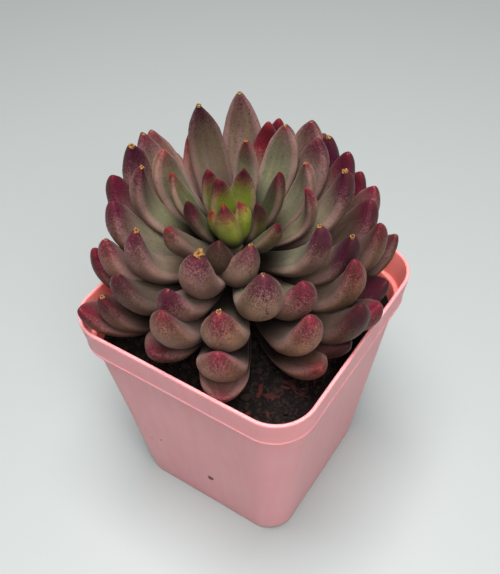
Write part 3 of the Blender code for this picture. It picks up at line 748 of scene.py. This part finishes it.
def pot_sections():
    """Half width, corner radius and height, from the underside up over the lip to the inner floor."""
    body_top = COLLAR_FOOT - FILLET
    face_foot = COLLAR_FOOT + BEAD_CLEARANCE
    lip = POT_HEIGHT - LIP_ROUND
    inner_half, inner_corner = COLLAR_HALF - WALL, MOUTH_CORNER - WALL
    ledge_top, ledge_foot, floor_edge = LEDGE + EDGE_ROUND, LEDGE - EDGE_ROUND, FLOOR + EDGE_ROUND
    foot, mouth = (COLLAR_HALF, MOUTH_CORNER, face_foot), (MOUTH_HALF, MOUTH_CORNER, lip)
    return [
        *arc(*body_at(FOOT_ROUND, FOOT_ROUND), FOOT_ROUND, FOOT_ROUND, -90, -4),
        *slope((*body_at(FOOT_ROUND), FOOT_ROUND), (*body_at(body_top), body_top),
               BODY_STEPS),
        *arc(BODY_TOP_HALF + FILLET, MOUTH_CORNER + FILLET, body_top, FILLET, 170, 90, 3),
        *arc(COLLAR_HALF - BEAD_SUNK, MOUTH_CORNER - BEAD_SUNK, COLLAR_FOOT + BEAD_RADIUS,
             BEAD_RADIUS, -90, 70, 8),
        foot, *slope(foot, mouth, COLLAR_STEPS),
        *arc(MOUTH_HALF - LIP_ROUND, MOUTH_CORNER - LIP_ROUND, lip, LIP_ROUND, 15, 90),
        *arc(MOUTH_HALF - WALL + LIP_ROUND, inner_corner + LIP_ROUND, lip, LIP_ROUND, 90, 180),
        *slope((MOUTH_HALF - WALL, inner_corner, lip), (inner_half, inner_corner, ledge_top),
               COLLAR_STEPS),
        *arc(inner_half - EDGE_ROUND, inner_corner - EDGE_ROUND, ledge_top, EDGE_ROUND, -15, -90, 4),
        *arc(*body_at(LEDGE, WALL - EDGE_ROUND), ledge_foot, EDGE_ROUND, 90, 180, 4),
        *slope((*body_at(ledge_foot, WALL), ledge_foot),
               (*body_at(floor_edge, WALL), floor_edge), BODY_STEPS),
        *arc(*body_at(FLOOR, WALL + EDGE_ROUND), floor_edge, EDGE_ROUND, -15, -90, 4),
    ]


def depth_in_wall(point):
    """How far a point lies inside the pot's outer face."""
    x, y, z = point
    half, radius = body_at(min(z, COLLAR_FOOT))
    if z >= COLLAR_FOOT:
        half = blend(COLLAR_HALF, MOUTH_HALF, (z - COLLAR_FOOT) / COLLAR_HEIGHT)
    over = Vector((max(abs(x) - half + radius, 0), max(abs(y) - half + radius, 0)))
    flat = min(max(abs(x), abs(y)) - half + radius, 0)
    return radius - over.length - flat


def pot():
    """The pot: a thin lofted wall with a full round lip, cut by the foot notches and drain holes."""
    bm = loft([rounded_square(*section) for section in pot_sections()])
    for vert in bm.verts:
        outward = Vector((vert.co.x, vert.co.y, 0)).normalized()
        vert.co += outward * WALL_WAVE * noise.noise(vert.co / WALL_WAVE_LENGTH)
    uncut = new_piece("uncut_pot", bm, pot_material())
    cutters = bpy.data.collections.new("pot_cutters")
    bpy.context.scene.collection.children.link(cutters)
    for corner in range(4):
        facing = Matrix.Rotation(radians(45 + 90 * corner), 4, "Z")
        notch = bmesh.new()
        bmesh.ops.create_cube(notch, size=1)
        notch.transform(Matrix.Diagonal((*NOTCH_SIZE, 1)))
        notch.transform(facing @ Matrix.Translation((CORNER_REACH, 0, 0)))
        drain = bmesh.new()
        bmesh.ops.create_cone(drain, cap_ends=True, segments=DRAIN_SIDES, depth=4 * FLOOR,
                              radius1=DRAIN_RADIUS, radius2=DRAIN_RADIUS)
        drain.transform(facing @ Matrix.Translation((DRAIN_PLACE * sqrt(2), 0, 0)))
        for cutter in (notch, drain):
            cutters.objects.link(bpy.data.objects.new("cutter", mesh_of(cutter, "cutter")))
    cut = uncut.modifiers.new("notches and drain holes", "BOOLEAN")
    cut.operation = "DIFFERENCE"
    cut.operand_type = "COLLECTION"
    cut.collection = cutters
    mesh = evaluated_mesh(uncut)
    for spare in [uncut, *cutters.objects]:
        bpy.data.objects.remove(spare)
    bpy.data.collections.remove(cutters)
    mesh.shade_smooth()
    mesh.set_sharp_from_angle(angle=SHARP_ANGLE)
    # How deep in the wall each point lies, which places the inner face's painted glow
    depths = [(depth_in_wall(vert.co) / WALL - INSIDE_FROM) / INSIDE_FADE if vert.co.z > FLOOR / 2 else 0
              for vert in mesh.vertices]
    store(mesh, inside=[min(max(depth, 0), 1) for depth in depths])
    made = show("pot_wall", mesh)
    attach(made, "root")
    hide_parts("pot")


def clinging_crumbs():
    """A few crumbs of dried mix on the outside of the pot."""
    bm = bmesh.new()
    for place, size in CLINGING_CRUMBS:
        lump = bmesh.ops.create_icosphere(bm, subdivisions=3, radius=1)["verts"]
        for vert in lump:
            rough = 1 + CLINGING_ROUGH * noise.noise(vert.co * CLINGING_GRAIN + Vector(place))
            vert.co = (Vector(place) + vert.co * CLINGING_PRESS * rough * size) * MM
    material = crumb_material("dried potting mix crumb", "#6B4138", "#9A6A5A")
    made = new_piece("clinging_crumbs", bm, material)
    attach(made, "root")


def stem_foot():
    """Where the stem enters the soil, straight below the crown's lower end."""
    return plant_frame() @ Vector((0, 0, CROWN_FOOT))


def soil_top():
    """Rings of points on the crumbly top of the mix, from the pot's wall in to the stem."""
    foot = stem_foot()
    level = SOIL_LEVEL - SOIL_MARGIN
    edge = rounded_square(*body_at(level, WALL + GAP), level)
    rings = [edge]
    for ring in range(1, SOIL_RINGS + 1):
        row = []
        for rim in edge:
            away = Vector((rim.x - foot.x, rim.y - foot.y, 0)).normalized()
            inner = Vector((foot.x, foot.y, level)) + away * (STEM_RADIUS + GAP)
            point = rim.lerp(inner, ring / SOIL_RINGS)
            spot = Vector((point.x, point.y, 0))
            point.z = SOIL_LEVEL + SOIL_RELIEF * noise.noise(spot / SOIL_CLUMP + SOIL_SEED)
            point.z += SOIL_LUMP_RELIEF * noise.fractal(spot / SOIL_LUMP + SOIL_SEED, *SOIL_FRACTAL)
            row.append(point)
        rings.append(row)
    return rings


def soil():
    """The potting mix with its crumbs and reddish bark fibres."""
    top = soil_top()
    low = FLOOR + EDGE_ROUND + GAP
    base = rounded_square(*body_at(low, WALL + GAP), low)
    hole = [Vector((point.x, point.y, SOIL_LEVEL - STEM_BURIED - GAP)) for point in top[-1]]
    made = new_piece("soil_bed", loft([base, *top, hole]), soil_material())
    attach(made, "root")
    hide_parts("soil")

    ground = bpy.data.meshes.new("scatter_surface")
    rows = top[SCATTER_RINGS[0]:SCATTER_RINGS[1]]
    count = len(rows[0])
    ground.from_pydata([point for row in rows for point in row], [], [
        (r * count + i, r * count + j, (r + 1) * count + j, (r + 1) * count + i)
        for r in range(len(rows) - 1) for i, j in zip(range(count), [*range(1, count), 0])])
    materials = {
        "crumb": crumb_material("potting mix crumb", "#0F0B09", "#221713"),
        "bark": crumb_material("composted bark fibre", "#200E0C", "#3E1915"),
    }
    for seed, (name, made_of, density, smallest, largest, stretch, detail) in enumerate(STREWN, 1):
        inputs = {
            "Per square metre": density, "Smallest": smallest * MM, "Largest": largest * MM,
            "Stretch": stretch, "Ruggedness": 0.45, "Bend": 0.0 if detail else FIBRE_BEND,
            "Seed": seed, "Material": materials[made_of],
        }
        made = grow(name, ground, partial(crumb_nodes, detail), inputs)
        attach(made, "root")


def crumb_nodes(detail, put, given):
    """Strew rough lumps, or thin bent fibres where detail is 0, over a surface."""
    seed = {"Seed": given["Seed"]}
    spread = put("DistributePointsOnFaces", given["Geometry"], None, given["Per square metre"], seed)
    if detail:
        lump = put("MeshIcoSphere", 1.0, detail)
    else:
        lump = put("MeshCylinder", 5, 9, None, 1.0, 2.0)
    size = put("RandomValue", given["Smallest"], given["Largest"], seed)
    lie = put("RandomValue", *LIE, seed, **VECTORS)
    shape = put("CombineXYZ", size, size, put("Math", size, given["Stretch"], **TIMES))
    strewn = put("InstanceOnPoints", spread, None, lump, {"Rotation": lie, "Scale": shape})
    tint = put("RandomValue", 0.0, 1.0, {"Seed": TINT_SEED})
    tinted = put("StoreNamedAttribute", strewn, None, "tint", tint, domain="INSTANCE")
    solid = put("RealizeInstances", tinted)

    # Rough faces on lumps, and slow bends along fibres
    spot = put("InputPosition")
    level = put("MapRange", put("TexNoise", spot, CRUMB_FACETS, 1.0), 0.3, 0.7, -1.0, 1.0)
    reach = put("Math", given["Ruggedness"], given["Smallest"], **TIMES)
    height = put("Math", level, reach, **TIMES)
    nudge = put("VectorMath", put("InputNormal"), height, operation="SCALE")
    rough = put("SetPosition", solid, {"Offset": nudge})
    slow = put("TexNoise", spot, FIBRE_BENDS, 0.0).outputs["Color"]
    swing = put("VectorMath", slow, (0.5, 0.5, 0.5), operation="SUBTRACT")
    amount = put("Math", given["Bend"], 4.0, **TIMES)
    return put("SetPosition", rough, {"Offset": put("VectorMath", swing, amount, operation="SCALE")})


def stem():
    """The short bare stem and the crown that the leaves grow from, as one skin."""
    foot = stem_foot()
    place = plant_frame()
    ways = [(cos(tau * i / STEM_SIDES), sin(tau * i / STEM_SIDES))
            for i in range(STEM_SIDES)]
    rings = [[Vector((foot.x + STEM_RADIUS * x, foot.y + STEM_RADIUS * y, SOIL_LEVEL + height))
              for x, y in ways] for height in STEM_RINGS]
    rings += [[place @ (Vector((radius * x, radius * y, height)) * MM) for x, y in ways]
              for radius, height in CROWN_PROFILE]
    bm = loft(rings)
    long_edges = [edge for edge in bm.edges if edge.calc_length() > STEM_EDGE]
    bmesh.ops.subdivide_edges(bm, edges=long_edges, cuts=2, use_grid_fill=True)
    for vert in bm.verts:
        away = Vector((vert.co.x - foot.x, vert.co.y - foot.y, 0)).normalized()
        vert.co += away * STEM_RELIEF * noise.noise(vert.co / STEM_KNOB)
    made = new_piece("stem", bm, stem_material())
    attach(made, "root")


def dry_nodes(put, given):
    """Set a crusty dried point, lumpy or sunk to a ring, on each leaf's tip."""
    skin = balls(put, given)
    blank, centre, along, side = [put("InputNamedAttribute", name, **VECTORS) for name in (
        "blank", "centre", "along", "side")]
    size, pit, own = [put("InputNamedAttribute", name) for name in ("size", "pit", "own")]
    x, y, z = put("SeparateXYZ", blank).outputs

    # Ragged lumps, each point with its own pattern
    spot = put("VectorMath", blank, put("CombineXYZ", own, own, own))
    lumps = put("TexNoise", spot, 1.5, 3.0, 0.6)
    swell = put("MapRange", lumps, 0.3, 0.7, 0.55, 1.4)
    radius = put("Math", swell, size, **TIMES)

    # The pit sinks the outer end between a raised rim
    off_axis = put("VectorMath", put("CombineXYZ", x, y), operation="LENGTH")
    depth = put("MapRange", off_axis, 0.75, 0.2, 0.0, 1.1, **SMOOTH)
    for part in (put("Math", z, 0.0, operation="GREATER_THAN"), pit):
        depth = put("Math", depth, part, **TIMES)
    tall = put("Math", put("Math", z, depth, operation="SUBTRACT"), given["Length"], **TIMES)

    upward = put("VectorMath", along, side, operation="CROSS_PRODUCT")
    place = centre
    for way, share in ((side, x), (upward, y), (along, tall)):
        reach = put("Math", share, radius, **TIMES)
        place = put("VectorMath", place, put("VectorMath", way, reach, operation="SCALE"))
    done = put("SetPosition", skin, None, place)
    for name, value in (("pit_depth", depth), ("proud", swell)):
        done = put("StoreNamedAttribute", done, None, name, value)
    return put("SetShadeSmooth", done)


def dry_points(numbers, lines):
    """All the dried leaf points as one piece."""
    chosen = [n for n in numbers if n in DRY_POINTS]
    bows, tips, sides = zip(*[line[1:4] for n, line in zip(numbers, lines) if n in chosen])
    widths, pits = zip(*[DRY_POINTS[n] for n in chosen])
    along = [(tip - bow).normalized() for tip, bow in zip(tips, bows)]
    mesh = bpy.data.meshes.new("dry_spots")
    mesh.from_pydata(tips, [], [])
    store(
        mesh, centre=[tip + way * DRY_OUT for tip, way in zip(tips, along)], along=along, side=sides,
        size=[width * MM / 20 for width in widths], pit=[pit / 10 for pit in pits],
        own=[n * DRY_OWN for n in chosen],
    )
    inputs = {"Sides": 20, "Rings": 14, "Length": 0.75, "Material": dry_material()}
    made = grow("dry_points", mesh, dry_nodes, inputs)
    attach(made, "root")


# Polypropylene, injection moulded. A dull pink skin with a soft broad sheen; light that passes through
# the thin wall reddens the inside, and the inside is also painted a deeper salmon red, a painted glow of
# that light.
def pot_material():
    made, put = new_material("moulded pink polypropylene")
    spot = put("TexCoord").outputs["Object"]
    drift = put("TexNoise", spot, PER_MM / 22.0)
    skin = put("ValToRGB", drift, stops=((0.3, "#D68F93"), (0.7, "#DB969A")))
    # Painted glow: the inner face's deeper, brighter red stands in for light through the wall
    painted_inner_glow = put("ValToRGB", drift, stops=((0.3, "#EA827C"), (0.7, "#EE8A84")))
    inside = put("Attribute", attribute_name="inside").outputs["Fac"]
    body = put("Mix", inside, skin, painted_inner_glow, **COLOURS)

    # Fine dust and scuffs, a few tenths of a millimetre wide, and rare flecks
    dust = put("MapRange", put("TexNoise", spot, PER_MM / 0.7, 4.0, 0.7), 0.55, 0.8, 0.0, 0.16)
    body = put("Mix", dust, body, "#D9BDB8", **COLOURS)
    fleck = put("MapRange", put("TexVoronoi", spot, PER_MM / 5.0), 0.02, 0.05, 0.55, 0.0)
    rare = put("MapRange", put("TexNoise", spot, PER_MM / 14.0, 1.0), 0.58, 0.62)
    body = put("Mix", put("Math", fleck, rare, **TIMES), body, "#8A5A50", **COLOURS)

    # Mould grain and faint upright flow lines
    grain = put("TexNoise", spot, PER_MM / 0.3)
    stretch = put("Mapping", spot, {"Scale": (1.0, 1.0, 0.06)})
    flow = put("TexNoise", stretch, PER_MM / 2.5)
    height = put("Math", grain, flow)
    return surface(made, {
        "Base Color": body, "Roughness": put("MapRange", flow, 0.3, 0.7, 0.40, 0.50),
        "Normal": put("Bump", 0.25, 0.03 * MM, None, height),
        "IOR": 1.49, "Specular IOR Level": 0.4, "Subsurface Weight": 0.8,
        "Subsurface Radius": (1.0, 0.35, 0.3), "Subsurface Scale": 3.0 * MM,
    })


# Potting mix, damp and strewn. Peat and bark so dark that only the higher crumbs show.
def soil_material():
    made, put = new_material("damp potting mix")
    spot = put("TexCoord").outputs["Object"]
    bits = put("TexNoise", spot, PER_MM / 1.6, 5.0, 0.7)
    body = put("ValToRGB", bits, stops=((0.3, "#080505"), (0.55, "#120C0B"), (0.75, "#221714")))
    height = put("Math", bits, put("TexVoronoi", spot, PER_MM / 1.1), operation="SUBTRACT")
    return surface(made, {
        "Base Color": body, "Roughness": 0.95, "Specular IOR Level": 0.15,
        "Normal": put("Bump", 0.9, 0.5 * MM, None, height),
    })


# Bits of the mix, broken. Each has its own shade between two, mottled by finer grains.
def crumb_material(name, dark, light):
    made, put = new_material(name)
    spot = put("TexCoord").outputs["Object"]
    tint = put("Attribute", attribute_name="tint").outputs["Fac"]
    grains = put("TexNoise", spot, PER_MM / 0.4, 3.0)
    level = put("Math", put("MapRange", grains, 0.3, 0.7, -0.3, 0.3), tint)
    return surface(made, {
        "Base Color": put("ValToRGB", level, stops=((0.0, dark), (1.0, light))),
        "Normal": put("Bump", 0.6, 0.15 * MM, None, grains),
        "Roughness": 0.9, "Specular IOR Level": 0.2,
    })


# Old stem bark, grown. Olive brown, cracked across where leaves have dropped.
def stem_material():
    made, put = new_material("old stem bark")
    spot = put("TexCoord").outputs["Object"]
    patches = put("TexNoise", spot, PER_MM / 3.2, 4.0)
    squash = put("Mapping", spot, {"Scale": (0.4, 0.4, 1.6)})
    cracks = put("TexVoronoi", squash, PER_MM / 1.6, feature="DISTANCE_TO_EDGE")
    return surface(made, {
        "Base Color": put("ValToRGB", patches, stops=(
            (0.3, "#3A3020"), (0.55, "#5C5236"), (0.75, "#7A6248"))),
        "Normal": put("Bump", 0.7, 0.3 * MM, None, cracks),
        "Roughness": 0.8,
    })


# Dried leaf point, withered. Golden ochre scab with dark brown pits and a pale outer edge.
def dry_material():
    made, put = new_material("withered leaf point")
    spot = put("TexCoord").outputs["Object"]
    sunk, proud = [put("Attribute", attribute_name=name).outputs["Fac"] for name in (
        "pit_depth", "proud")]
    grain = put("TexNoise", spot, PER_MM / 0.4, 4.0, 0.7)
    shade = put("Math", put("MapRange", proud, 0.6, 1.3, -0.22, 0.25), grain)
    body = put("ValToRGB", shade, stops=(
        (0.25, "#20120C"), (0.42, "#5E3A1C"), (0.60, "#835E2A"), (0.85, "#B08E52")))
    return surface(made, {
        "Base Color": put("Mix", put("MapRange", sunk, 0.15, 0.7), body, "#1E100D", **COLOURS),
        "Normal": put("Bump", 0.8, 0.15 * MM, None, grain),
        "Roughness": 0.7, "Specular IOR Level": 0.3,
    })


def camera():
    """The photograph's viewpoint: above the front corner, a little rolled."""
    turned = Matrix.Rotation(VIEW_TURN, 4, "Z") @ Matrix.Rotation(pi / 2 - VIEW_TILT, 4, "X")
    turned @= Matrix.Rotation(VIEW_ROLL, 4, "Z")
    data = bpy.data.cameras.new("viewpoint")
    data.sensor_fit = "VERTICAL"
    data.sensor_height = SENSOR_HEIGHT
    data.lens = FOCAL_PIXELS / PICTURE_PIXELS * SENSOR_HEIGHT
    data.clip_start = NEAREST
    made = show("viewpoint", data)
    away = Matrix.Translation((0, 0, VIEW_DISTANCE))
    made.matrix_world = Matrix.Translation(VIEW_TARGET) @ turned @ away
    bpy.context.scene.camera = made


def lights():
    """Soft daylight from overhead and the viewer's side, with an even pale surround, true colours."""
    bpy.context.scene.view_settings.view_transform = "Standard"
    world = bpy.data.worlds.new("surround")
    world.use_nodes = True
    plug(world.node_tree, world.node_tree.nodes["Background"], SURROUND)
    bpy.context.scene.world = world
    for name, place, size, power in LAMPS:
        data = bpy.data.lights.new(name, "AREA")
        data.size = size
        data.energy = power
        facing = (place - LIT_PLACE).to_track_quat("Z", "Y").to_matrix().to_4x4()
        show(name, data).matrix_world = Matrix.Translation(place) @ facing


# Board, painted. A matt pale grey that gives the eye only the soft shadows on it.
def board_material():
    return surface(new_material("pale painted board")[0], {"Base Color": "#9CA09F", "Roughness": 0.6})


def floor():
    """A plain pale floor."""
    bm = bmesh.new()
    bmesh.ops.create_grid(bm, x_segments=1, y_segments=1, size=BOARD_HALF)
    made = new_piece("floor", bm, board_material())


leaf_numbers = sorted(set(LEAF_NUMBERS) - DROPPED_LEAVES)
leaf_lines = [leaf_line(number) for number in leaf_numbers]
leaves(leaf_numbers, leaf_lines)
dry_points(leaf_numbers, leaf_lines)
stem()
pot()
clinging_crumbs()
soil()
floor()
lights()
camera()

bpy.context.view_layer.update()
